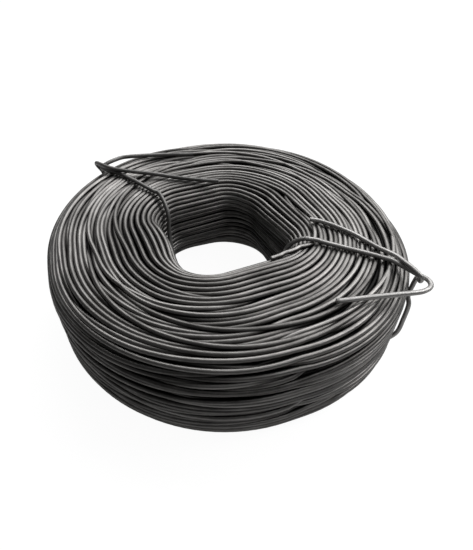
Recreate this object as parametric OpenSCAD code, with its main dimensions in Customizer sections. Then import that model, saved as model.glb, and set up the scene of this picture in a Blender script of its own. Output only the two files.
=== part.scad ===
// Coil of black annealed binding wire, held by two hooked tie wires.
// The wire is wound on a square mandrel, so the hole keeps soft corners and
// the outside comes out nearly round. It lies flat, as it is stored.

/* [Wire] */
// Diameter of the wire in the coil
wire_d = 1.6; // [1.2:0.1:2]
// Spacing of the turns that show on the outside of the coil
turn_pitch = 2.2; // [2.1:0.1:3.5]

/* [Coil] */
// Width of the coil across its flats
coil_w = 126; // [116:1:136]
// Height of the coil as it lies
coil_h = 37; // [34:1:44]
// Width of the hole across its flats
hole_w = 37; // [34:1:44]
// Length of each straight side of the hole, between its soft corners
hole_side = 8; // [4:1:12]
// Turn of the hole's sides about the upright axis
hole_turn = 22; // [0:1:45]
// How far the hole lies left of the coil's middle
hole_left = 3.6; // [0:0.1:3.8]
// How far the hole lies in front of the coil's middle
hole_front = 0.9; // [0:0.1:1.2]
// Rounding of the winding towards the hole, above
inner_top_r = 12; // [8:0.5:14]
// Rounding of the winding towards the hole, below
inner_bottom_r = 16; // [10:0.5:18]
// Rounding of the winding at its outer top edge
outer_top_r = 9; // [6:0.5:13]
// Rounding of the winding at its outer bottom edge
outer_bottom_r = 8; // [5:0.5:10]

/* [Ties] */
// Diameter of the tie wires
tie_d = 1.6; // [1.2:0.1:2]
// Air between a tie wire and the turns that it lies on
tie_gap = 0.3; // [0.2:0.05:0.6]
// How far the ties stand off the outside of the coil
tie_slack = 1.2; // [0.8:0.1:3]
// Where the right tie crosses the coil, from the X axis
right_tie_at = -20; // [-40:1:-10]
// Where the left tie crosses the coil, from the X axis
left_tie_at = 146; // [130:1:160]

/* [Hidden] */

wire_colour = [0.24, 0.24, 0.25];
tie_colour = [0.32, 0.32, 0.33];
$fn = 48;
wire_r = wire_d / 2;
tie_r = tie_d / 2;
corner_off = hole_side / 2;

// The section of the winding is seen with its first value across, counted
// from the axes of the hole's corners, and its second value up.
hole_face = hole_w / 2 - corner_off;
outer_face = coil_w / 2 - corner_off;
near = hole_face + wire_r;
far = outer_face - wire_r;
low = wire_r;
high = coil_h - wire_r;

// The winding wandered off centre as it grew, so it is made of bands of turns
// that each lie a little off the next. Between two bands the gap is wider.
band_count = 5;
band_air = 0.5;
opened = band_air * (band_count - 1);
hole_centre = [-hole_left, -hole_front];

// Corners of the section, through the centres of the outermost turns:
// [centre, radius, start angle]
function corners_to(edge) = [
    [[near + inner_bottom_r, low + inner_bottom_r], inner_bottom_r, 180],
    [[edge - outer_bottom_r, low + outer_bottom_r], outer_bottom_r, 270],
    [[edge - outer_top_r, high - outer_top_r], outer_top_r, 0],
    [[near + inner_top_r, high - inner_top_r], inner_top_r, 90]];
section_corners = corners_to(far);
closed_corners = corners_to(far - opened);

// A point of the section's outline on a corner, and how it is reached by
// walking a length along the outline's eight pieces, arcs and sides by turns
function on_corner(c, a, lift = 0) = c[0] + (c[1] + lift) * [cos(c[2] + a), sin(c[2] + a)];
function corner_after(i) = closed_corners[(i + 1) % 4];
function side_start(i) = on_corner(closed_corners[i], 90);
function side_end(i) = on_corner(corner_after(i), 0);
piece_len = [for (i = [0:3]) for (is_side = [0, 1])
    is_side == 1 ? norm(side_end(i) - side_start(i)) : closed_corners[i][1] * PI / 2];
function sum_to(i) = i == 0 ? 0 : sum_to(i - 1) + piece_len[i - 1];
outline_len = sum_to(len(piece_len));
function outline_at(s, i = 0) =
    s > piece_len[i] && i < len(piece_len) - 1 ? outline_at(s - piece_len[i], i + 1)
    : i % 2 == 0 ? on_corner(closed_corners[i / 2], 90 * s / piece_len[i])
    : side_start((i - 1) / 2) + (side_end((i - 1) / 2) - side_start((i - 1) / 2)) * s / piece_len[i];

turn_count = floor(outline_len / turn_pitch);
turn_spots = [for (i = [0:turn_count - 1]) outline_at((i + 0.5) * outline_len / turn_count)];
function band_of(spot) = min(band_count - 1, floor((spot[0] - near) * band_count / (far - opened - near)));

// Each turn shows as three points of its round crest, and a groove between
// it and the next one goes down to the wires' centres.
crest_angles = [-45, 0, 45];
function turn_crest(i) =
    let (before = turn_spots[(i + turn_count - 1) % turn_count],
        here = turn_spots[i],
        after = turn_spots[(i + 1) % turn_count],
        along = (after - before) / norm(after - before),
        out = [along[1], -along[0]])
    concat([(before + here) / 2],
        [for (a = crest_angles) here + wire_r * (sin(a) * along + cos(a) * out)]);

module band_section(band) {
    translate([band * band_air, 0])
    polygon([for (i = [0:turn_count - 1]) if (band_of(turn_spots[i]) == band) each turn_crest(i)]);
}

// The turns below the outermost ones, which close the gaps between the bands
core_deep = 2.6;
core_steps = 30;
module core_section() {
    polygon([for (c = section_corners) for (a = [0:core_steps:90]) on_corner(c, a, -core_deep)]);
}

// A section taken round the hole's four corners and along its four sides
module wound(centre) {
    translate(centre) rotate(hole_turn)
    for (quarter = [0:3]) rotate(90 * quarter) translate([corner_off, corner_off, 0]) {
        rotate_extrude(angle = 90) children();
        rotate([90, 0, 0]) linear_extrude(hole_side) children();
    }
}

// Distance from the coil's middle to a shell that lies rho outside the
// corner axes, in the direction ang, found in a few steps
reach_steps = 8;
function centre_at(rho) = hole_centre * max(0, min(1, (outer_face - rho) / (outer_face - hole_face)));
function turned_back(p) = [p[0] * cos(hole_turn) + p[1] * sin(hole_turn), p[1] * cos(hole_turn) - p[0] * sin(hole_turn)];
function shell_of(p) = let (x = abs(p[0]) - corner_off, y = abs(p[1]) - corner_off)
    x > 0 && y > 0 ? norm([x, y]) : max(x, y);
function reach(ang, rho, n = reach_steps) = n == 0
    ? rho + corner_off
    : let (out = reach(ang, rho, n - 1))
        out + rho - shell_of(turned_back(out * [cos(ang), sin(ang)] - centre_at(rho)));

// The ties pinch the turns together under the coil, so it rests on its own
// turns and not on the ties.
pinch_r = tie_r + tie_gap;
under_z = tie_r + tie_gap / 2;

module tie_pinch(ang) {
    rotate(ang) translate([0, 0, under_z]) rotate([0, 90, 0]) cylinder(r = pinch_r, h = coil_w);
}

module wire_coil() {
    color(wire_colour)
    difference() {
        union() {
            for (band = [0:band_count - 1])
                wound(hole_centre * (1 - band / (band_count - 1))) band_section(band);
            wound(hole_centre / 2) core_section();
        }
        tie_pinch(right_tie_at);
        tie_pinch(left_tie_at);
    }
}

// Smooth path through points, and a round wire swept along it
path_steps = 4;
tie_sides = 8;
function path_point(p, i, t) =
    let (a = p[max(i - 1, 0)], b = p[i], c = p[i + 1], d = p[min(i + 2, len(p) - 1)])
    0.5 * (2 * b + (c - a) * t + (2 * a - 5 * b + 4 * c - d) * t * t
        + (3 * b - a - 3 * c + d) * t * t * t);
function smooth_path(p) = concat(
    [for (i = [0:len(p) - 2]) for (k = [0:path_steps - 1]) path_point(p, i, k / path_steps)],
    [p[len(p) - 1]]);
function unit(v) = v / norm(v);
function heading(p, i) = unit(p[min(i + 1, len(p) - 1)] - p[max(i - 1, 0)]);
function square_to(n, t) = unit(n - (n * t) * t);

module bent_wire(points, r) {
    path = smooth_path(points);
    first = square_to([0, 0, 1], heading(path, 0));
    normals = [for (i = 0, n = first; i < len(path);
        i = i + 1, n = i < len(path) ? square_to(n, heading(path, i)) : n) n];
    rings = [for (i = [0:len(path) - 1]) let (side = cross(heading(path, i), normals[i]))
        for (k = [0:tie_sides - 1]) let (a = 360 * k / tie_sides)
            path[i] + r * (cos(a) * normals[i] + sin(a) * side)];
    last = (len(path) - 1) * tie_sides;
    walls = [for (i = [0:len(path) - 2]) for (k = [0:tie_sides - 1])
        let (b = i * tie_sides, j = (k + 1) % tie_sides)
            [b + k, b + tie_sides + k, b + tie_sides + j, b + j]];
    ends = [[for (k = [0:tie_sides - 1]) k], [for (k = [tie_sides - 1:-1:0]) last + k]];
    polyhedron(points = rings, faces = concat(walls, ends));
}

// Places for a tie, as [out from the coil's middle, to the left, up]
lift = tie_r + tie_gap;
top_z = coil_h + lift;

// Strand round the section, from under the hook down the outside, through
// the pinch below and up the wall of the hole, to its start over the top
arc_step = 15;
function shell_point(ang, c, a) = let (p = on_corner(c, a, wire_r + lift)) [reach(ang, p[0]), 0, max(under_z, p[1])];
function loop_strand(ang, side) =
    let (wall = reach(ang, outer_face) + tie_r + tie_slack)
    concat(
        [[wall, side, coil_h * 0.62],
        [wall + 0.2, side, coil_h * 0.42],
        [wall, side, coil_h * 0.24]],
        [for (a = [60:-arc_step:15]) shell_point(ang, section_corners[1], a) + [0, side * a / 90, 0]],
        [[reach(ang, outer_face - outer_bottom_r * 1.9), 0, under_z],
        [reach(ang, hole_face + inner_bottom_r * 1.5), 0, under_z]],
        [for (a = [75:-arc_step:0]) shell_point(ang, section_corners[0], a)],
        [for (a = [90:-arc_step:15]) shell_point(ang, section_corners[3], a)]);

// Free end that comes outwards over the top, wraps the other strand and
// goes down, and the strand from the hole that ends bent back over the top
module tie_right() {
    hole = reach(right_tie_at, hole_face);
    wall = reach(right_tie_at, outer_face);
    color(tie_colour) rotate(right_tie_at) bent_wire(concat(
        [[hole + 8.4, 12, top_z + 0.2],
        [hole + 15.3, 11.9, top_z],
        [hole + 22.5, 10.2, top_z],
        [wall - 14.8, 7.9, top_z],
        [wall - 9.6, 6.3, top_z + 0.3],
        [wall - 4.5, 3.3, top_z + 1.2],
        [wall - 0.8, 0, top_z + 1.8],
        [wall + 1, -3.1, top_z + 0.6],
        [wall + 1.4, -4.3, top_z - 1.6],
        [wall + 1.2, -3.1, top_z - 3.4],
        [wall + 0.6, -0.8, top_z - 4.8],
        [wall + 0.8, 0.8, top_z - 7.5]],
        loop_strand(right_tie_at, 0.8),
        [[hole + 12, 0.8, top_z],
        [hole + 17, 1.5, top_z],
        [hole + 24, 1.6, top_z],
        [wall - 14, 1.3, top_z],
        [wall - 7.5, 0.9, top_z],
        [wall - 3, 0, top_z - 0.3],
        [wall + 0.2, -0.8, top_z - 0.8],
        [wall + 2.2, -0.8, top_z - 0.7],
        [wall + 3.5, -2.1, top_z - 0.4],
        [wall + 4.4, -5.1, top_z],
        [wall + 3.4, -8.4, top_z + 0.3],
        [wall + 1.2, -10.8, top_z + 0.5],
        [wall - 2.9, -13.2, top_z + 0.7],
        [wall - 7, -15.6, top_z + 0.8],
        [wall - 13.7, -19.8, top_z + 1],
        [wall - 20.4, -23.8, top_z + 1.3]]), tie_r);
}

module tie_left() {
    hole = reach(left_tie_at, hole_face);
    wall = reach(left_tie_at, outer_face);
    color(tie_colour) rotate(left_tie_at) bent_wire(concat(
        [[hole - 2.5, -18.9, top_z - 0.8],
        [hole + 4.9, -13.9, top_z],
        [hole + 14, -9.5, top_z],
        [wall - 23.2, -5.9, top_z],
        [wall - 16.9, -3.8, top_z + 0.1],
        [wall - 11.1, -1.7, top_z + 0.6],
        [wall - 7.2, -0.2, top_z + 1.4],
        [wall - 3.4, 0.3, top_z + 1.9],
        [wall + 0.3, 0.5, top_z + 1.3],
        [wall + 1.1, 0.4, top_z - 0.8],
        [wall, 0, top_z - 2.9],
        [wall + 0.2, -0.4, top_z - 5],
        [wall + 1.4, -0.6, top_z - 8]],
        loop_strand(left_tie_at, -0.6),
        [[hole + 12, 0.6, top_z],
        [hole + 18, 0, top_z],
        [hole + 25, -0.2, top_z],
        [wall - 13, 0.2, top_z],
        [wall - 8, 1.6, top_z],
        [wall - 3.6, 2.6, top_z - 0.6],
        [wall + 0.2, 2.4, top_z - 2.9],
        [wall + 2.4, 0, top_z - 4.4],
        [wall + 0.8, -2.7, top_z - 3.4],
        [wall - 2.4, -5, top_z - 1],
        [wall - 4.6, -8, top_z + 0.3],
        [wall - 8.6, -12.6, top_z + 0.6],
        [wall - 14.7, -18.2, top_z + 0.5],
        [wall - 20.8, -23.9, top_z + 0.3],
        [wall - 26.9, -29.8, top_z + 0.2]]), tie_r);
}

wire_coil();
tie_right();
tie_left();
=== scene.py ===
import math

import bmesh
import bpy
import numpy as np
from mathutils import Matrix, Vector


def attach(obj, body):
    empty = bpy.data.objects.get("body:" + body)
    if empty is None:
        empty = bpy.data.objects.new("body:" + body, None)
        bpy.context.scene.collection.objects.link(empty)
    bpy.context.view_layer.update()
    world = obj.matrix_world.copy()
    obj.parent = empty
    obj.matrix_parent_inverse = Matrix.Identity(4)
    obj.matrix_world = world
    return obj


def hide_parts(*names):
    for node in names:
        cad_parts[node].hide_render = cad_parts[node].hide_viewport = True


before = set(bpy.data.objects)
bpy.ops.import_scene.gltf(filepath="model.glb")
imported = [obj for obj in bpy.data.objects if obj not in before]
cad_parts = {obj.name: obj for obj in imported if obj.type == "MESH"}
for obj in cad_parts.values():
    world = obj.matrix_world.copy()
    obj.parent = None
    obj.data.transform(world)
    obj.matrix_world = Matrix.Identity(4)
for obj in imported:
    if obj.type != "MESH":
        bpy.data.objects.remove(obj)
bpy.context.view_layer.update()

# Lengths below are in millimetres. MM turns them into metres at the last step.
MM = 0.001

# The wires and where the ties sit, as the source has them
wire_d = 1.6
tie_d = 1.6
wire_r = wire_d / 2
tie_r = tie_d / 2
tie_gap = 0.3
right_tie_at = math.radians(-20)
left_tie_at = math.radians(146)

# How far the ties stand off outside: closer than the source's solids
tie_slack = 0.8

# The coil was wound a little off centre: its outer turns sit to the right of
# its hole. Each millimetre up, the turns lie a little further to the left and
# nearer to the side that the photo was taken from.
outer_centre = np.array([0.0, 0.0])
hole_centre = np.array([-3.6, -0.9])
lean = np.array([-0.0245, -0.038])
mid_height = 18.15

# Its turns keep the mandrel's square the better, the nearer they lie to the
# top of the hole: half their straight stretch, how far they are turned, and
# the heights over which this grows
straight_half = 3.2
straight_extra = 6.0
turn_outside = math.radians(20.6)
turn_extra = math.radians(5.0)
square_from = 4
square_rise = 18

# By the right tie, the turns round the rim of the hole are pulled out of
# square, the more the higher they lie, and most at one angle, with a slope on
# either side of it like a soft tent's.
pull = 5.0
pull_at = math.radians(-24)
pull_towards = math.radians(27)
pull_from = 8
pull_rise = 18
tent_top = 1.22
tent_slope = 1.2
tent_round = 0.035

# On the left, the top of the winding stays flat up to a sharper rim: how much
# it stands out of the rounded corner, where, over what angle, how far into
# the winding, and its share of that in the middle of the corner
ridge = 2.2
ridge_at = math.radians(203)
ridge_wide = 0.62
ridge_reach = 13.6
ridge_middle = 0.39

# Section of the winding through the centres of its outermost turns: distance
# from the coil's axis to the flat side, height, and the four rounded corners,
# each with the angle that it starts at
near = 18.3 + wire_r
far = 62.95 - wire_r
low = wire_r
high = 36.7 - wire_r
inner_bottom_r = 17.0
outer_bottom_r = 7.0
outer_top_r = 8.6
inner_top_r = 9.6
corners = [
    (near + inner_bottom_r, low + inner_bottom_r, inner_bottom_r, 180),
    (far - outer_bottom_r, low + outer_bottom_r, outer_bottom_r, 270),
    (far - outer_top_r, high - outer_top_r, outer_top_r, 0),
    (near + inner_top_r, high - inner_top_r, inner_top_r, 90)]


# The way round the coil

CORNER_STEPS = 30
SIDE_STEPS = 6
STEPS = 4 * (CORNER_STEPS + SIDE_STEPS)
step_turn = 2 * math.pi * np.arange(STEPS) / STEPS


def way_round():
    """Unit corner place and outward direction of each step round a soft square."""
    places, facings = [], []
    for quarter in range(4):
        start = quarter * math.pi / 2
        turned = np.array([[math.cos(start), -math.sin(start)], [math.sin(start), math.cos(start)]])
        for k in range(CORNER_STEPS):
            a = math.pi / 2 * k / CORNER_STEPS
            places.append(turned @ np.array([1.0, 1.0]))
            facings.append(turned @ np.array([math.cos(a), math.sin(a)]))
        for k in range(SIDE_STEPS):
            places.append(turned @ np.array([1.0 - 2.0 * k / SIDE_STEPS, 1.0]))
            facings.append(turned @ np.array([0.0, 1.0]))
    return np.array(places), np.array(facings)


step_place, step_facing = way_round()


def squareness(w, z):
    """0 outside and low down, 1 at the top of the hole."""
    inwards = np.clip(1 - (w - near) / (far - near), 0, 1)
    upwards = np.clip((z - square_from) / square_rise, 0, 1)
    return inwards ** 2 * upwards


def straight_at(w, z):
    """Half the straight stretch of a turn."""
    return straight_half + straight_extra * squareness(w, z)


def spun(flat, w, z, way):
    """Points turned to the square's own direction, or back from it."""
    a = turn_outside + turn_extra * squareness(w, z)
    c, s = np.cos(a), way * np.sin(a)
    return np.stack([flat[..., 0] * c - flat[..., 1] * s, flat[..., 0] * s + flat[..., 1] * c], axis=-1)


def centre_at(w, z):
    """Middle of a turn."""
    share = np.clip((w - near) / (far - near), 0, 1)[..., None]
    return hole_centre * (1 - share) + outer_centre * share + lean * (z - mid_height)[..., None]


def raised(flat, w, z):
    """How far the left rim stands out of the rounded corner of the section."""
    to_hole = np.clip((near + ridge_reach - w) / ridge_reach, 0, 1)
    to_top = np.clip((z - high + ridge_reach) / ridge_reach, 0, 1)
    angle = np.arctan2(flat[..., 1], flat[..., 0]) - ridge_at
    off = (np.mod(angle + math.pi, 2 * math.pi) - math.pi) / ridge_wide
    return ridge * (to_hole * to_top) ** 2 / ridge_middle * np.exp(-off ** 2)


def pulled(flat, w, z):
    """How far a turn lies out of its place on the soft square, which is measured from its centre."""
    inwards = np.clip(1 - (w - near) / (far - near), 0, 1)
    upwards = np.clip((z - pull_from) / pull_rise, 0, 1)
    away = (np.arctan2(flat[..., 1], flat[..., 0]) - pull_at) / (math.pi / 2)
    tent = np.clip(tent_top - tent_slope * np.sqrt(away ** 2 + tent_round), 0, 1)
    share = pull * inwards * upwards * tent
    by_tie = share[..., None] * np.array([math.cos(pull_towards), math.sin(pull_towards)])
    return by_tie - raised(flat, w, z)[..., None] * np.array([math.cos(ridge_at), math.sin(ridge_at)])


def place(step, w, z):
    """Where a wire lies at a step round the coil, in millimetres."""
    a = straight_at(w, z)[..., None]
    flat = spun(step_place[step] * a + step_facing[step] * (w[..., None] - a), w, z, 1)
    level = np.minimum(z + raised(flat, w, z), high)[..., None]
    return np.concatenate([flat + pulled(flat, w, z) + centre_at(w, z), level], axis=-1)


def width_at(x, y, z, first_guess=40.0, rounds=12):
    """The w of the turn that passes through a point."""
    w = np.full(np.shape(x), first_guess)
    z = np.broadcast_to(np.asarray(z, float), w.shape)
    for _ in range(rounds):
        flat = np.stack([np.asarray(x, float), np.asarray(y, float)], axis=-1) - centre_at(w, z)
        flat = spun(flat - pulled(flat, w, z), w, z, -1)
        ax, ay = np.abs(flat[..., 0]), np.abs(flat[..., 1])
        a = straight_at(w, z)
        w = np.where((ax > a) & (ay > a), a + np.hypot(ax - a, ay - a), np.maximum(ax, ay))
    return w


def out_at(angle, w, z, side=0.0, furthest=90.0, halvings=40):
    """How far out a line at this angle, and this far to the left, meets the turn at w."""
    nearer, further = 0.0, furthest
    for _ in range(halvings):
        middle = (nearer + further) / 2
        x = middle * math.cos(angle) - side * math.sin(angle)
        y = middle * math.sin(angle) + side * math.cos(angle)
        if width_at(np.array(x), np.array(y), np.array(z)) < w:
            nearer = middle
        else:
            further = middle
    return (nearer + further) / 2


# The section

def section_outline(count=500):
    """Points of the section's outline, their inward directions and the length up to each.

    There are count points on each corner and on each side."""
    points, inwards = [], []
    for i, (cw, cz, r, start) in enumerate(corners):
        for a in np.linspace(0, 90, count):
            t = math.radians(start + a)
            points.append((cw + r * math.cos(t), cz + r * math.sin(t)))
            inwards.append((-math.cos(t), -math.sin(t)))
        ncw, ncz, nr, nstart = corners[(i + 1) % 4]
        t = math.radians(nstart)
        a, b = np.array(points[-1]), np.array([ncw + nr * math.cos(t), ncz + nr * math.sin(t)])
        for f in np.linspace(0, 1, count + 2)[1:-1]:
            points.append(tuple(a + (b - a) * f))
            inwards.append((-math.cos(t), -math.sin(t)))
    points, inwards = np.array(points), np.array(inwards)
    hops = np.linalg.norm(np.roll(points, -1, axis=0) - points, axis=1)
    return points, inwards, np.concatenate([[0], np.cumsum(hops)])


outline, inward, reached = section_outline()
outline_length = reached[-1]


def on_outline(s, depth):
    """A place in the section, a length s round its outline and a depth into it."""
    s = np.mod(s, outline_length)
    at = np.searchsorted(reached, s, side="right") - 1
    at = np.clip(at, 0, len(outline) - 1)
    f = ((s - reached[at]) / np.maximum(reached[at + 1] - reached[at], 1e-9))[..., None]
    nxt = (at + 1) % len(outline)
    point = outline[at] * (1 - f) + outline[nxt] * f
    facing = inward[at] * (1 - f) + inward[nxt] * f
    return point + facing / np.linalg.norm(facing, axis=-1, keepdims=True) * np.asarray(depth)[..., None]


def from_corner(corner, w, z):
    """Offsets from the centre of a rounded corner, and whether they point into it."""
    cw, cz, _, start = corner
    side_w = 1 if start in (270, 0) else -1
    side_z = 1 if start in (0, 90) else -1
    dw, dz = w - cw, z - cz
    return dw, dz, (dw * side_w > 0) & (dz * side_z > 0)


def depth_below(w, z):
    """How deep a point lies under the outermost turns' crests."""
    deep = np.minimum(np.minimum(w - near, far - w), np.minimum(z - low, high - z))
    for corner in corners:
        dw, dz, inside = from_corner(corner, w, z)
        deep = np.where(inside, corner[2] - np.hypot(dw, dz), deep)
    return deep + wire_r


def keep_inside(p, floor):
    """Places in the section moved back to its outline, where they lie out of it."""
    w = np.clip(p[..., 0], near, far)
    z = np.clip(p[..., 1], floor, high)
    for corner in corners:
        cw, cz, r, _ = corner
        dw, dz, inside = from_corner(corner, w, z)
        away = np.maximum(np.hypot(dw, dz), 1e-9)
        back = np.where(inside & (away > r), r / away, 1)
        w, z = cw + dw * back, cz + dz * back
    return np.stack([w, np.maximum(z, floor)], axis=-1)


# The ties pinch the turns up under the coil: how far, over what half width,
# and the greatest height that a turn is taken to lie at for this
pinch = 2.3
pinch_half = 7
pinch_below = 8


def pinched_floor(w, z):
    """Lowest height of a wire's centre at each place."""
    steps = np.broadcast_to(np.arange(STEPS), w.shape)
    xyz = place(steps, w, np.minimum(z, pinch_below))
    up = np.zeros_like(w)
    for angle in (right_tie_at, left_tie_at):
        along = xyz[..., 0] * math.cos(angle) + xyz[..., 1] * math.sin(angle)
        off = -xyz[..., 0] * math.sin(angle) + xyz[..., 1] * math.cos(angle)
        up = np.maximum(up, pinch * np.clip(1 - (off / pinch_half) ** 2, 0, 1) ** 2 * (along > 0))
    return low + up


# Laying the turns

# They lie closer in the hole than on the outside.
inner_pitch = 1.86
outer_pitch = 2.55

# How the turns of a layer sway: waves shared by neighbours, with their lengths
# round the section, and each turn's own
wave_count = 14
sway_length = 16
rise_length = 8
own_sway = 0.36

# Where on the section's outline the stray turns lie, from the bottom of the
# outside, how far they stray in one, two and three waves a turn, and how deep
stray_from = 58
stray_span = 49
stray_waves = ((1, 4.8), (2, 1.8), (3, 0.3))
stray_depth = 0.9


def spread_turns(closeness):
    """Length round the outline for each share of the way through a layer, and its turn count."""
    pitch = (inner_pitch + (outer_pitch - inner_pitch) * (outline[:, 0] - near) / (far - near)) * closeness
    counted = np.concatenate([[0], np.cumsum(np.diff(reached) / pitch)])
    turns = int(round(counted[-1]))
    return turns, lambda n: np.interp(np.mod(n, turns) * counted[-1] / turns, counted, reached)


class Waves:
    """A smooth, seeded field over the outline and the way round."""

    def __init__(self, seed, length, size):
        rng = np.random.default_rng(seed)
        self.around = rng.integers(1, 4, wave_count)
        self.along = np.round(rng.normal(0, outline_length / length / (2 * math.pi), wave_count) * 1.6)
        self.phase = rng.uniform(0, 2 * math.pi, wave_count)
        self.size = rng.uniform(0.5, 1, wave_count) * size / math.sqrt(wave_count / 2)

    def __call__(self, s, turn):
        u = 2 * math.pi * s[..., None] / outline_length
        return (self.size * np.cos(self.around * turn[..., None] + self.along * u + self.phase)).sum(-1)


def layer(closeness, depth, sway, rise, seed):
    """One layer of the winding: a single wire that works its way round the section."""
    turns, length_at = spread_turns(closeness)
    n = np.arange(turns)[:, None] + np.arange(STEPS)[None] / STEPS
    s = length_at(n)
    turn = np.broadcast_to(step_turn, s.shape)
    rng = np.random.default_rng(seed + 7)
    own = np.zeros_like(s)
    for around in (1, 2, 3):
        size = rng.normal(0, own_sway / around, (turns, 1))
        own += size * np.cos(around * turn + rng.uniform(0, 2 * math.pi, (turns, 1)))
    passed = turn / (2 * math.pi)
    own = own * (1 - passed) + np.roll(own, -1, axis=0) * passed
    sideways = Waves(seed, sway_length, sway)(s, turn) + own
    deep = depth + Waves(seed + 1, rise_length, rise)(s, turn)
    return on_outline(s + sideways, deep)


def riding_turns(count, seed):
    """Turns that stray across their neighbours, outside and on the outer part of the top."""
    rng = np.random.default_rng(seed)
    s = stray_from + (np.arange(count) + rng.uniform(0.1, 0.9, count))[:, None] * stray_span / count
    s = np.broadcast_to(s, (count, STEPS)).copy()
    for around, size in stray_waves:
        reach = rng.normal(0, size, (count, 1))
        phase = rng.uniform(0, 2 * math.pi, (count, 1))
        s += reach * np.cos(around * step_turn + phase)
    sunk = stray_depth * (0.5 + 0.5 * np.cos(step_turn + rng.uniform(0, 2 * math.pi, (count, 1))))
    return on_outline(s, sunk)


# The cut end of the coil's wire lies loose on the rim of the hole, at these
# places, and then sinks between the turns: how many steps on, how much
# further out and how much lower
end_route = [(13.6, -18.95, 36.3), (18.7, -15.75, 36.3), (24.0, -12.45, 36.0), (28.6, -10.15, 35.8)]
sink_steps = np.array([6, 12, 20, 30, 42, 56])
sink_out = np.array([0.5, 1.0, 1.5, 1.9, 2.2, 2.4])
sink_down = np.array([0.0, 0.4, 1.8, 3.8, 6.0, 8.0])


def step_nearest(x, y, w, height, parts=8):
    """Step, to an eighth, at which the turn at w passes closest to a point."""
    closest, nearest = 1e9, 0
    for k in np.linspace(0, STEPS, STEPS * parts, endpoint=False):
        here = place(int(k) % STEPS, np.array(w), np.array(height)) * (1 - k % 1)
        here = here + place((int(k) + 1) % STEPS, np.array(w), np.array(height)) * (k % 1)
        off = math.hypot(here[0] - x, here[1] - y)
        if off < closest:
            closest, nearest = off, k
    return nearest


def loose_end():
    """Steps and places in the section of the loose end and of the part that sinks."""
    steps, w, z = [], [], []
    for x, y, height in end_route:
        v = width_at(np.array(x), np.array(y), np.array(height))
        steps.append(step_nearest(x, y, v, height))
        w.append(float(v))
        z.append(height)
    steps = np.unwrap(np.array(steps) * 2 * math.pi / STEPS) * STEPS / (2 * math.pi)
    if steps[-1] < steps[0]:
        raise ValueError("the loose end runs backwards")
    s = np.concatenate([steps, steps[-1] + sink_steps])
    w = np.concatenate([w, w[-1] + sink_out])
    z = np.concatenate([z, z[-1] - sink_down])
    whole = np.arange(math.ceil(s[0]), math.floor(s[-1]) + 1)
    return whole % STEPS, np.stack([np.interp(whole, s, w), np.interp(whole, s, z)], axis=-1)


# Settling the turns: how close two wires must come to be watched, looked for
# at every sixth step, and how far they are pushed apart, drawn to their aims
# and evened out in each round. In the last rounds nothing draws them, and
# every twentieth round works out the floor under them afresh.
watch_within = 6.5
watch_every = 6
push_share = 0.55
draw_share = 0.04
even_share = 0.3
loose_rounds = 25
floor_every = 20

# A place that no wire comes near, for the steps where the loose end isn't
OUT_OF_REACH = 500.0


def evened(q, axis, times):
    """Points evened out along the wire that they lie on."""
    for _ in range(times):
        q = q + even_share * (np.roll(q, 1, axis=axis) + np.roll(q, -1, axis=axis) - 2 * q)
    return q


def even_out(p, kinds, spans, times):
    """Even out each free wire along its length: a layer is one wire, a ring is a turn of its own."""
    for kind, (a, b) in zip(kinds, spans):
        if kind == "layer":
            p[a:b] = evened(p[a:b].reshape(-1, 2), 0, times).reshape(p[a:b].shape)
        elif kind == "ring":
            p[a:b] = evened(p[a:b], 1, times)


def settle(wires, spacing=wire_d, rounds=150):
    """Push the wires of all layers apart until they only touch.

    wires is a list of (places, kind), where kind says whether a wire joins its
    next turn ("layer"), closes on itself ("ring") or is fixed ("fixed")."""
    p = np.concatenate([w for w, _ in wires])
    aims = p.copy()
    kinds = [kind for _, kind in wires]
    starts = np.cumsum([0] + [len(w) for w, _ in wires])
    spans = list(zip(starts[:-1], starts[1:]))
    free = np.concatenate([np.full(len(w), kind != "fixed") for w, kind in wires])
    close = np.zeros((len(p), len(p)), bool)
    for k in range(0, STEPS, watch_every):
        close |= np.linalg.norm(p[:, None, k] - p[None, :, k], axis=-1) < watch_within
    first, second = np.nonzero(np.triu(close, 1))
    both = free[first].astype(float) + free[second]
    share_first = np.where(both > 0, free[first] / np.maximum(both, 1), 0)[:, None, None]
    share_second = np.where(both > 0, free[second] / np.maximum(both, 1), 0)[:, None, None]
    for r in range(rounds):
        if r <= rounds - loose_rounds:
            p = np.where(free[:, None, None], p + draw_share * (aims - p), p)
        even_out(p, kinds, spans, 3)
        d = p[second] - p[first]
        away = np.linalg.norm(d, axis=-1, keepdims=True)
        push = np.clip(spacing - away, 0, None) / np.maximum(away, 1e-6) * d * push_share
        np.subtract.at(p, first, push * share_first)
        np.add.at(p, second, push * share_second)
        if r % floor_every == 0:
            floor = pinched_floor(p[..., 0], p[..., 1])
        p = np.where(free[:, None, None], keep_inside(p, floor), p)
    even_out(p, kinds, spans, 10)
    return [p[a:b] for a, b in spans]


# Wires

# How much of a wire's section shows as its crest, and at what depth under the
# outermost turns a wire starts to darken, both for the painted shade in the
# material: each wire's flanks away from its crest, and the turns deep in the
# winding, are painted darker where shade falls between the turns
crest_from = 0.35
crest_fade = 0.9
dark_from = 1.2
dark_fade = 1.4


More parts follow.
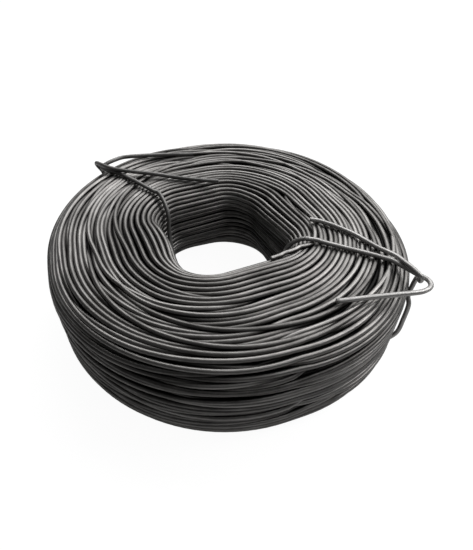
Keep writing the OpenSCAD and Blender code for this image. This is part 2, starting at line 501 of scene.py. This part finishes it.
def wire_tubes(name, runs, radius, sides, closed, caps):
    """A mesh of round wires along runs of points."""
    curve = bpy.data.curves.new(name, "CURVE")
    curve.dimensions = "3D"
    curve.bevel_depth = radius * MM
    curve.bevel_resolution = (sides - 4) // 2
    curve.use_fill_caps = caps
    for points in runs:
        spline = curve.splines.new("POLY")
        spline.points.add(len(points) - 1)
        flat = np.concatenate([points * MM, np.ones((len(points), 1))], axis=1)
        spline.points.foreach_set("co", flat.ravel())
        spline.use_cyclic_u = closed
    carrier = bpy.data.objects.new(name + "_route", curve)
    bpy.context.collection.objects.link(carrier)
    bpy.context.view_layer.update()
    mesh = bpy.data.meshes.new_from_object(carrier.evaluated_get(bpy.context.evaluated_depsgraph_get()))
    mesh.name = name
    bpy.data.objects.remove(carrier)
    mesh.polygons.foreach_set("use_smooth", np.ones(len(mesh.polygons), bool))
    return mesh


def give_values(mesh, name, values):
    """A value for each vertex, for the material. Vertices past the last value get 0."""
    full = np.zeros(len(mesh.vertices), np.float32)
    full[:len(values)] = values
    mesh.attributes.new(name, "FLOAT", "POINT").data.foreach_set("value", full)


def painted_shade_shares(mesh, radius, sides, count):
    """Painted shade for each of the first count vertices: how much it lies away from its wire's crest or
    under others.
    """
    spots = np.zeros(len(mesh.vertices) * 3, np.float32)
    mesh.vertices.foreach_get("co", spots)
    x, y, z = spots.reshape(-1, 3).T / MM
    rings = depth_below(width_at(x, y, z), z)[:count].reshape(-1, sides)
    middle = rings.mean(axis=1, keepdims=True)
    away_from_crest = np.clip(((rings - middle) / radius + crest_from) / crest_fade, 0, 1)
    under_others = np.clip((middle - dark_from) / dark_fade, 0, 1)
    return np.maximum(away_from_crest, under_others).ravel()


def wire_mesh(name, runs, radius, sides, closed, tones, caps=False, coil_wire=True):
    """Round wires along runs of points, in millimetres, as one piece."""
    mesh = wire_tubes(name, runs, radius, sides, closed, caps)
    if coil_wire:
        count = sum(len(points) for points in runs) * sides
        # Painted shade on each wire's flanks and on the turns under others, for the material
        give_values(mesh, "buried", painted_shade_shares(mesh, radius, sides, count))
    tone, along = [], []
    for points, own in zip(runs, tones):
        hops = np.linalg.norm(np.diff(points, axis=0, append=points[:1]), axis=1)
        run = np.concatenate([[0], np.cumsum(hops)[:-1]])
        tone.append(np.repeat(np.broadcast_to(own, (len(points),)), sides))
        along.append(np.repeat(run * MM, sides))
    give_values(mesh, "tone", np.concatenate(tone))
    give_values(mesh, "run", np.concatenate(along))
    piece = bpy.data.objects.new(name, mesh)
    bpy.context.collection.objects.link(piece)
    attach(piece, "root")
    return piece


def smooth_route(points, steps=6):
    """A smooth line through points."""
    p = np.asarray(points, float)
    out = []
    for i in range(len(p) - 1):
        a, b, c, d = p[max(i - 1, 0)], p[i], p[i + 1], p[min(i + 2, len(p) - 1)]
        for k in range(steps):
            t = k / steps
            out.append(0.5 * (2 * b + (c - a) * t + (2 * a - 5 * b + 4 * c - d) * t * t
                              + (3 * b - a - 3 * c + d) * t ** 3))
    out.append(p[-1])
    return np.array(out)


# Winding

outer_layer = layer(closeness=1.0, depth=0.4, sway=1.0, rise=0.35, seed=11)
second_layer = layer(closeness=1.02, depth=2.3, sway=1.6, rise=0.5, seed=23)
third_layer = layer(closeness=1.1, depth=4.0, sway=1.6, rise=0.4, seed=37)
stray_turns = riding_turns(count=22, seed=53)

end_steps, end_places = loose_end()
end_ring = np.full((1, STEPS, 2), OUT_OF_REACH)
end_ring[0, end_steps] = end_places

outer_layer, second_layer, third_layer, stray_turns, _ = settle(
    [(outer_layer, "layer"), (second_layer, "layer"), (third_layer, "layer"),
     (stray_turns, "ring"), (end_ring, "fixed")])


def drawn(layer_places):
    """Places in the section, turned into points of the coil."""
    steps = np.broadcast_to(np.arange(STEPS), layer_places.shape[:2])
    return place(steps, layer_places[..., 0], layer_places[..., 1])


def tones_for(turns, seed):
    """A tone for each step of a layer's wire, which changes slowly from turn to turn."""
    rng = np.random.default_rng(seed)
    knots = rng.uniform(0, 1, turns + 1)
    knots[-1] = knots[0]
    return np.interp(np.arange(turns * STEPS) / STEPS, np.arange(turns + 1), knots)


coil_pieces = []
for name, places, sides, seed in (("outer_turns", outer_layer, 10, 3), ("second_turns", second_layer, 8, 5),
                                  ("third_turns", third_layer, 6, 8)):
    run = drawn(places).reshape(-1, 3)
    coil_pieces.append(wire_mesh(name, [run], wire_r, sides, True, [tones_for(len(places), seed)]))
stray_tones = np.random.default_rng(13).uniform(0, 1, len(stray_turns))
coil_pieces.append(wire_mesh("stray_turns", list(drawn(stray_turns)), wire_r, 10, True, stray_tones))

end_run = smooth_route(place(end_steps, end_places[:, 0], end_places[:, 1]), 2)
coil_pieces.append(wire_mesh("inner_end", [end_run], wire_r, 12, False, [1.0], caps=True))


def core(depth=5.4, spots=40, every=3):
    """The turns that never show, as one body under the third layer, near-black with painted shade."""
    mesh = bpy.data.meshes.new("hidden_turns")
    bm = bmesh.new()
    section = on_outline(np.linspace(0, outline_length, spots, endpoint=False), np.full(spots, depth))
    hoops = []
    for k in range(0, STEPS, every):
        xyz = place(np.full(spots, k), section[:, 0], section[:, 1]) * MM
        hoops.append([bm.verts.new(v) for v in xyz])
    for a, b in zip(hoops, hoops[1:] + hoops[:1]):
        for i in range(spots):
            j = (i + 1) % spots
            bm.faces.new((a[i], a[j], b[j], b[i]))
    bmesh.ops.recalc_face_normals(bm, faces=bm.faces)
    bm.to_mesh(mesh)
    bm.free()
    mesh.polygons.foreach_set("use_smooth", np.ones(len(mesh.polygons), bool))
    piece = bpy.data.objects.new("hidden_turns", mesh)
    bpy.context.collection.objects.link(piece)
    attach(piece, "root")
    return piece


hidden = core()

# Ties

# Height of the strands on top, height of the strand under the coil, and how
# far a tie's middle lies off the turns at the rounded corners
top_z = 37.5
under_z = tie_r + tie_gap / 2
tie_lift = tie_r + tie_gap

# The strand outside: shares of the coil's height, and how much more it stands off there
coil_h = 36.6
outside_spots = ((0.62, 0), (0.42, 0.2), (0.24, 0))


def shell_place(angle, corner, a, side=0.0):
    """A place on a tie that follows one rounded corner of the section."""
    cw, cz, r, start = corner
    t = math.radians(start + a)
    reach = r + wire_r + tie_lift
    z = max(under_z, cz + reach * math.sin(t))
    return [out_at(angle, cw + reach * math.cos(t), z, side), side, z]


def loop_strand(angle, side, hole_side):
    """From under the hook down the outside, below the coil and up the wall of the hole."""
    inner_bottom, outer_bottom, _, inner_top = corners
    points = []
    for share, more in outside_spots:
        z = coil_h * share
        points.append([out_at(angle, far + wire_r, z) + tie_r + tie_slack + more, side, z])
    for a in (60, 45, 30, 15):
        p = shell_place(angle, outer_bottom, a)
        points.append([p[0], p[1] + side * a / 90, p[2]])
    for w in (far - 14, near + 24):
        points.append([out_at(angle, w, under_z), 0, under_z])
    for a in (75, 60, 45, 30, 15, 0):
        points.append(shell_place(angle, inner_bottom, a, hole_side * (1 - a / 90)))
    for a in (90, 75, 60, 45, 30, 15):
        points.append(shell_place(angle, inner_top, a, hole_side * (0.35 + a / 140)))
    return points


def tie_run(angle, before, after, side, hole_side):
    """The whole run of a tie's wire, from one free end to the other."""
    points = np.array(before + loop_strand(angle, side, hole_side) + after, float)
    out, left, height = points.T
    c, s = math.cos(angle), math.sin(angle)
    return smooth_route(np.stack([out * c - left * s, out * s + left * c, height], -1), 8)


# Each tie's loose strands as (out, left, height) from the coil's middle, along
# the tie's own line: the free end down to its hook, then the end that comes
# over the rim of the hole and is bent back round the first
right_free = [
    [26.6, 10.5, top_z + 0.1], [29.6, 11.1, top_z], [34.0, 10.7, top_z], [38.5, 9.7, top_z],
    [42.9, 8.4, top_z], [47.2, 6.4, top_z], [51.5, 4.3, top_z + 0.1], [54.5, 3.1, top_z + 0.4],
    [57.5, 1.2, top_z + 1.0], [60.0, -1.3, top_z + 1.5], [61.6, -2.8, top_z + 1.7],
    [63.1, -4.1, top_z + 1.7], [64.5, -5.3, top_z + 1.5], [65.4, -5.6, top_z + 0.9],
    [65.7, -5.3, top_z - 0.3], [65.7, -4.6, top_z - 1.5], [65.4, -3.0, top_z - 2.3],
    [65.1, -1.3, top_z - 3.2], [65.1, -0.1, top_z - 5.4], [64.9, -0.3, top_z - 8.0],
    [64.7, -0.9, top_z - 12.0]]
right_back = [
    [28.0, -0.2, top_z - 0.2], [31.2, 0.3, top_z], [34.5, 0.1, top_z], [40.2, 0.1, top_z],
    [48.2, 0.2, top_z], [53.0, 0.1, top_z], [56.3, -0.1, top_z], [59.6, -1.3, top_z - 0.2],
    [62.4, -2.4, top_z - 0.3], [64.2, -3.2, top_z - 0.3], [65.6, -3.6, top_z - 0.4],
    [67.2, -4.2, top_z - 0.4], [68.3, -5.3, top_z - 0.4], [68.6, -6.8, top_z - 0.3],
    [68.2, -8.4, top_z - 0.1], [67.2, -10.0, top_z + 0.1], [65.7, -11.6, top_z + 0.3],
    [63.1, -13.4, top_z + 0.5], [59.4, -15.7, top_z + 0.7], [53.2, -19.3, top_z + 0.7],
    [47.9, -22.4, top_z + 0.6], [43.1, -25.2, top_z + 0.5]]
left_free = [
    [17.0, -16.8, top_z], [23.4, -13.2, top_z], [30.3, -9.5, top_z + 0.1], [39.8, -5.2, top_z + 0.4],
    [45.5, -1.7, top_z + 0.8], [50.5, 1.5, top_z + 1.3], [53.9, 3.2, top_z + 1.6],
    [57.2, 3.9, top_z + 1.7], [60.8, 3.6, top_z + 1.2], [63.9, 2.9, top_z + 0.4],
    [65.0, 2.4, top_z - 0.5], [64.9, 2.0, top_z - 1.7], [64.5, 1.4, top_z - 3.0],
    [64.4, 0.5, top_z - 4.8], [64.4, 0.2, top_z - 7.0]]
left_back = [
    [32.2, 3.4, top_z - 0.1], [36.7, 3.2, top_z], [43.2, 2.7, top_z], [49.1, 2.5, top_z - 0.1],
    [53.5, 2.6, top_z - 0.2], [57.1, 3.0, top_z - 0.4], [59.8, 3.1, top_z - 0.9],
    [61.5, 2.7, top_z - 1.3], [62.2, 1.7, top_z - 1.1], [61.7, 0.5, top_z - 0.5],
    [60.9, -2.0, top_z], [59.5, -6.3, top_z + 0.2], [57.4, -8.9, top_z + 0.3],
    [54.4, -12.1, top_z + 0.3], [49.9, -16.4, top_z + 0.3], [43.9, -21.7, top_z + 0.3],
    [37.9, -27.0, top_z + 0.1]]

right_route = tie_run(right_tie_at, right_free, right_back, side=-2.6, hole_side=0.5)
left_route = tie_run(left_tie_at, left_free, left_back, side=0.2, hole_side=7.0)
right_tie = wire_mesh("right_tie_wire", [right_route], tie_r, 16, False, [0.85], caps=True, coil_wire=False)
left_tie = wire_mesh("left_tie_wire", [left_route], tie_r, 16, False, [0.1], caps=True, coil_wire=False)


# Finishes

class Amount:
    """A number that changes over a surface, for sums written as Python."""

    def __init__(self, nodes, socket):
        self.nodes = nodes
        self.socket = socket

    def _sum(self, operation, first, second):
        return self.nodes.node("ShaderNodeMath", {"operation": operation}, {0: first, 1: second})

    def __add__(self, other):
        return self._sum("ADD", self, other)

    __radd__ = __add__

    def __rsub__(self, other):
        return self._sum("SUBTRACT", other, self)

    def __mul__(self, other):
        return self._sum("MULTIPLY", self, other)


class Nodes:
    """The nodes of one material or of the world."""

    def __init__(self, tree):
        self.tree = tree

    def node(self, kind, settings=None, values=None, out=0):
        made = self.tree.nodes.new(kind)
        for key, value in (settings or {}).items():
            if key == "stops":
                ramp = made.color_ramp.elements
                while len(ramp) < len(value):
                    ramp.new(0.5)
                for stop, (at, colour) in zip(ramp, value):
                    stop.position = at
                    stop.color = colour
            else:
                setattr(made, key, value)
        for key, value in (values or {}).items():
            self.give(made.inputs[key], value)
        return Amount(self, made.outputs[out])

    def give(self, socket, value):
        if isinstance(value, Amount):
            self.tree.links.new(value.socket, socket)
        else:
            socket.default_value = value

    def ray_kinds(self):
        """1 for what the camera sees itself, and 1 for what shows in reflections."""
        return self.node("ShaderNodeLightPath", out=0), self.node("ShaderNodeLightPath", out=3)


class Finish(Nodes):
    """One material and the nodes that make it."""

    def __init__(self, name):
        self.material = bpy.data.materials.new(name)
        self.material.use_nodes = True
        super().__init__(self.material.node_tree)
        self.shader = self.tree.nodes["Principled BSDF"]

    def set(self, **values):
        for key, value in values.items():
            self.give(self.shader.inputs[key.replace("_", " ")], value)


def grey(level, warm=0.0):
    """A grey that is redder by this share, and less blue by as much."""
    return (level * (1 + warm), level, level * (1 - warm), 1)


def steel_wire(name, painted_shade_colour, dark, light, shine, metal):
    """Black annealed steel: oxide in long streaks, rubbed brighter in places, with
    painted shade on the flanks of the wires and on the turns deep in the winding.
    """
    finish = Finish(name)
    where = finish.node("ShaderNodeTexCoord", out=3)
    along = finish.node("ShaderNodeAttribute", {"attribute_name": "run"}, out=2)
    tone = finish.node("ShaderNodeAttribute", {"attribute_name": "tone"}, out=2)
    flow = finish.node("ShaderNodeCombineXYZ", None, {0: along * 140, 1: tone * 40, 2: 0.0})
    streaks = finish.node("ShaderNodeTexNoise", None, {"Vector": flow, "Scale": 1.0, "Detail": 4.0})
    patches = finish.node("ShaderNodeTexNoise", None, {"Vector": where, "Scale": 90.0, "Detail": 3.0})
    grain = finish.node("ShaderNodeTexNoise", None, {"Vector": where, "Scale": 1800.0, "Detail": 3.0})
    buried = finish.node("ShaderNodeAttribute", {"attribute_name": "buried"}, out=2)
    # Wear in streaks, patches and grain, darkened by the painted shade: where that is full, the colour goes
    # to the darkest stop
    wear_and_painted_shade = (streaks * 0.35 + patches * 0.25 + grain * 0.1 + tone * 0.3) * (1 - buried * 0.9)
    stops = [(0.1, painted_shade_colour), (0.33, dark), (0.68, light)]
    colour = finish.node("ShaderNodeValToRGB", {"stops": stops}, {"Fac": wear_and_painted_shade})
    rough = shine + (1 - wear_and_painted_shade) * 0.16
    fine = finish.node("ShaderNodeBump", None, {"Strength": 0.25, "Distance": 0.00004, "Height": grain})
    finish.set(Base_Color=colour, Roughness=rough, Metallic=metal, Normal=fine)
    return finish.material


def plain_finish(name, colour, rough, metal):
    """One even colour, for what hardly shows."""
    finish = Finish(name)
    finish.set(Base_Color=colour, Roughness=rough, Metallic=metal)
    return finish.material


coil_steel = steel_wire("annealed_wire", grey(0.005, 0.04), grey(0.075, 0.04), grey(0.25, 0.03), 0.32, 0.88)
tie_steel = steel_wire("tie_wire", grey(0.03, 0.02), grey(0.13, 0.02), grey(0.38, 0.02), 0.36, 0.7)
# Near-black, darker than the steel's own colour: painted shade for the turns deep in the winding
core_painted_shade = plain_finish("buried_wire_painted_shade", grey(0.02), 0.7, 0.5)

for piece in coil_pieces:
    piece.data.materials.append(coil_steel)
    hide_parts("wire_coil")
hidden.data.materials.append(core_painted_shade)
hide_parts("wire_coil")
for piece, node in ((right_tie, "tie_right"), (left_tie, "tie_left")):
    piece.data.materials.append(tie_steel)
    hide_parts(node)


# Floor and backdrop

# How much of the floor is plain white, to the camera and in reflections, how
# strong that white is, and half the floor's side in metres. The rest of what
# shows is grey, which takes the shadows.
floor_seen = 0.8
floor_mirrored = 0.1
floor_strength = 1.2
floor_half_m = 3.0

# The backdrop lights the coil faintly from all sides, and is white to the camera.
sky_light = 0.05
sky_seen = 0.95
sky_mirrored = 0.02


def pale_floor():
    """White to the camera, faint in reflections, with some of its shadows kept."""
    finish = Finish("pale_floor")
    finish.set(Base_Color=grey(0.5), Roughness=0.9)
    seen, mirrored = finish.ray_kinds()
    white = finish.node("ShaderNodeEmission", None, {"Color": (1, 1, 1, 1), "Strength": floor_strength})
    mixed = finish.node("ShaderNodeMixShader", None, {0: seen * floor_seen + mirrored * floor_mirrored})
    mix = mixed.socket.node
    finish.tree.links.new(finish.shader.outputs[0], mix.inputs[1])
    finish.tree.links.new(white.socket, mix.inputs[2])
    finish.tree.links.new(mixed.socket, finish.tree.nodes["Material Output"].inputs["Surface"])
    return finish.material


def floor_plane():
    """The floor that the coil lies on."""
    mesh = bpy.data.meshes.new("floor")
    bm = bmesh.new()
    bmesh.ops.create_grid(bm, x_segments=1, y_segments=1, size=floor_half_m)
    bm.to_mesh(mesh)
    bm.free()
    floor = bpy.data.objects.new("floor", mesh)
    bpy.context.collection.objects.link(floor)
    floor.data.materials.append(pale_floor())


def backdrop():
    """A plain world behind and round the coil."""
    world = bpy.data.worlds.new("studio")
    world.use_nodes = True
    nodes = Nodes(world.node_tree)
    seen, mirrored = nodes.ray_kinds()
    backing = world.node_tree.nodes["Background"]
    backing.inputs["Color"].default_value = (1, 1, 1, 1)
    nodes.give(backing.inputs["Strength"], seen * sky_seen + mirrored * sky_mirrored + sky_light)
    return world


floor_plane()
scene = bpy.context.scene
scene.world = backdrop()


# Lights, with places and sizes in metres and powers in watts

lights_aim = Vector((0, 0, 0.02))


def soft_light(name, place_m, width_m, depth_m, power):
    lamp = bpy.data.lights.new(name, "AREA")
    lamp.shape = "RECTANGLE"
    lamp.size = width_m
    lamp.size_y = depth_m
    lamp.energy = power
    holder = bpy.data.objects.new(name, lamp)
    bpy.context.collection.objects.link(holder)
    holder.location = place_m
    holder.rotation_euler = (lights_aim - Vector(place_m)).to_track_quat("-Z", "Y").to_euler()


soft_light("back_light", (0.06, 0.44, 0.44), 1.0, 0.5, 3.1)
soft_light("top_light", (0.02, 0.30, 0.50), 0.4, 0.4, 1.1)
soft_light("right_light", (0.40, 0.10, 0.36), 0.3, 0.3, 1.6)
soft_light("front_light", (0.26, -0.12, 0.56), 0.3, 0.3, 0.45)


# Camera, from a fit of the coil's outline and hole. Its focal length and the
# middle of its picture are in pixels of the photo, its distance is in
# millimetres, and how high it stands and how far it is rolled are angles.

focal_px = 447.9
picture_w, picture_h = 473, 550
middle_px = (227.87, 258.46)
distance = 171.34
rise = 0.7412
roll = math.radians(1.957)
look_at = np.array([outer_centre[0], outer_centre[1], mid_height])
sensor = 36

camera_data = bpy.data.cameras.new("camera")
camera_data.sensor_fit = "AUTO"
camera_data.sensor_width = sensor
camera_data.lens = focal_px * sensor / picture_h
camera_data.shift_x = (picture_w / 2 - middle_px[0]) / picture_h
camera_data.shift_y = -(picture_h / 2 - middle_px[1]) / picture_h
camera_data.clip_start = 0.005
camera = bpy.data.objects.new("camera", camera_data)
bpy.context.collection.objects.link(camera)
eye = look_at + distance * np.array([0, -math.cos(rise), math.sin(rise)])
facing = (Vector(look_at * MM) - Vector(eye * MM)).to_track_quat("-Z", "Y").to_matrix().to_4x4()
camera.matrix_world = Matrix.Translation(Vector(eye * MM)) @ facing @ Matrix.Rotation(roll, 4, "Z")
scene.camera = camera
scene.view_settings.view_transform = "Standard"
